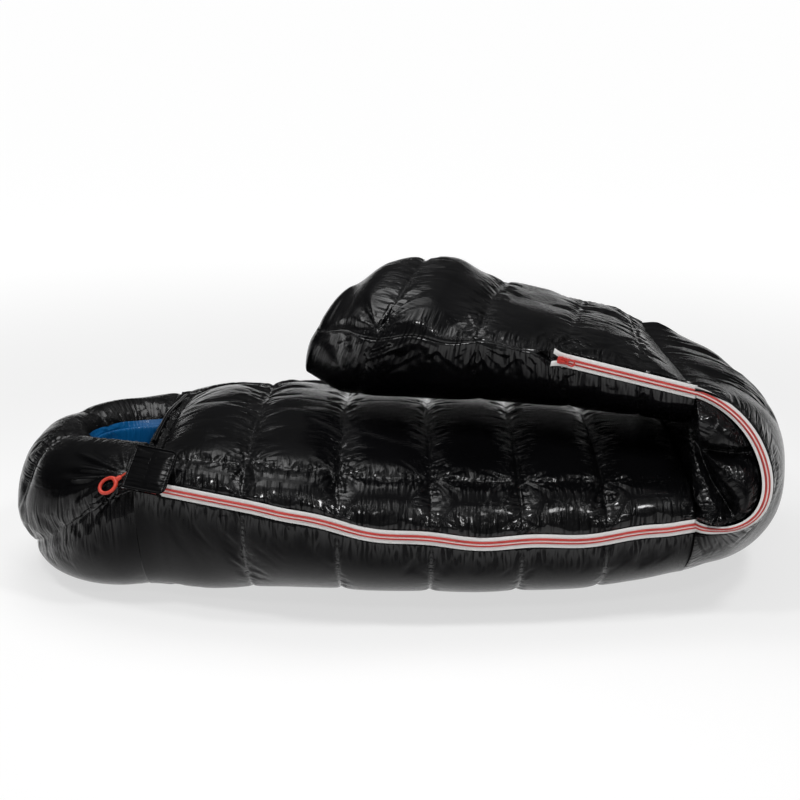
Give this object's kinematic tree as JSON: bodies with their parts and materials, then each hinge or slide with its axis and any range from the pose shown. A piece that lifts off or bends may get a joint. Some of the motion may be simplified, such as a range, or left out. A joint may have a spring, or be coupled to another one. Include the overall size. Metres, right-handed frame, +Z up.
{
  "type": "mummy sleeping bag",
  "caption": "Mummy sleeping bag with sewn stuffed chambers, hooded face opening and two-way side zip, folded once with its legs laid back over the body.",
  "frame": {"origin": "bottom centre of the folded bag's outline box, on the surface it lies on", "axes": "+Z up, +X from the hood to the fold along the bag's length, -Y is the side with the zip"},
  "size_m": [1.2741, 0.725, 0.5085],
  "materials": {
    "shell_nylon": "gloss",
    "lining_nylon": "satin",
    "zip_tape": "matte",
    "zip_coil": "satin",
    "slider_metal": "gloss",
    "drawcord": "matte",
    "pull_moulding": "satin",
    "hook_tape": "matte"
  },
  "bodies": {
    "torso": {"draft_tube": "lining_nylon", "drawcord_sleeve": "shell_nylon", "fold_inner_panel": "shell_nylon", "fold_outer_panel": "shell_nylon", "hood_back_cheek": "shell_nylon", "hood_back_shoulder": "shell_nylon", "hood_base": "shell_nylon", "hood_crown": "shell_nylon", "hood_front_cheek": "shell_nylon", "hood_front_shoulder": "shell_nylon", "hood_lining": "lining_nylon", "lining_floor": "lining_nylon", "lining_roof": "lining_nylon", "neck_binding": "shell_nylon", "neck_collar": "shell_nylon", "torso_back_panel_1": "shell_nylon", "torso_back_panel_2": "shell_nylon", "torso_bottom_chamber_1": "shell_nylon", "torso_bottom_chamber_2": "shell_nylon", "torso_bottom_chamber_3": "shell_nylon", "torso_bottom_chamber_4": "shell_nylon", "torso_bottom_chamber_5": "shell_nylon", "torso_bottom_chamber_6": "shell_nylon", "torso_front_chamber_1": "shell_nylon", "torso_front_chamber_2": "shell_nylon", "torso_front_chamber_3": "shell_nylon", "torso_front_chamber_4": "shell_nylon", "torso_front_chamber_5": "shell_nylon", "torso_front_chamber_6": "shell_nylon", "torso_top_chamber_1": "shell_nylon", "torso_top_chamber_2": "shell_nylon", "torso_top_chamber_3": "shell_nylon", "torso_top_chamber_4": "shell_nylon", "torso_top_chamber_5": "shell_nylon", "torso_top_chamber_6": "shell_nylon", "zip_coil_fold": "zip_coil", "zip_coil_torso": "zip_coil", "zip_tape_fold": "zip_tape", "zip_tape_lower_torso": "zip_tape", "zip_tape_upper_torso": "zip_tape"},
    "leg_section": {"foot_box": "shell_nylon", "leg_over_chamber_1": "shell_nylon", "leg_over_chamber_2": "shell_nylon", "leg_over_chamber_3": "shell_nylon", "leg_over_chamber_4": "shell_nylon", "leg_under_chamber_1": "shell_nylon", "leg_under_chamber_2": "shell_nylon", "leg_under_chamber_3": "shell_nylon", "leg_under_chamber_4": "shell_nylon", "zip_coil_leg": "zip_coil", "zip_tape_lower_leg": "zip_tape", "zip_tape_upper_leg": "zip_tape"},
    "foot_slider": {"foot_slider_body": "slider_metal"},
    "foot_pull": {"foot_slider_pull": "slider_metal"},
    "head_slider": {"head_slider_body": "slider_metal", "head_slider_pull": "slider_metal"},
    "chin_flap": {"chin_flap": "shell_nylon", "flap_hook_patch": "hook_tape"},
    "drawcord": {"drawcord": "drawcord", "drawcord_pull_ring": "pull_moulding"}
  },
  "joints": [
    {"name": "leg_fold", "type": "hinge", "parent": "torso", "child": "leg_section", "pos_m": [0.45645, 0, 0.195], "axis": [0, 1, 0], "range_deg": [0, 161], "deforming": ["fold_outer_panel", "fold_inner_panel", "zip_tape_fold", "zip_coil_fold"]},
    {"name": "foot_slider_travel", "type": "slide", "parent": "leg_section", "child": "foot_slider", "axis": [0.9656, -0.1573, -0.207], "range_m": [0, 0.18], "deforming": ["zip_coil_leg"]},
    {"name": "foot_pull_swing", "type": "hinge", "parent": "foot_slider", "child": "foot_pull", "pos_m": [0.25515, -0.23815, 0.41061], "axis": [-0.2043, 0.0333, -0.9783], "range_deg": [0, 170]},
    {"name": "head_slider_travel", "type": "slide", "parent": "torso", "child": "head_slider", "axis": [0.9328, -0.3545, -0.0653], "range_m": [0, 0.12], "deforming": ["zip_coil_torso"]},
    {"name": "chin_flap_swing", "type": "hinge", "parent": "torso", "child": "chin_flap", "pos_m": [-0.42148, -0.28893, 0.2246], "axis": [-0.2751, -0.5831, -0.7644], "range_deg": [0, 150]},
    {"name": "drawcord_pull", "type": "slide", "parent": "torso", "child": "drawcord", "axis": [-0.8244, -0.1482, -0.5463], "range_m": [0, 0.04]}
  ]
}
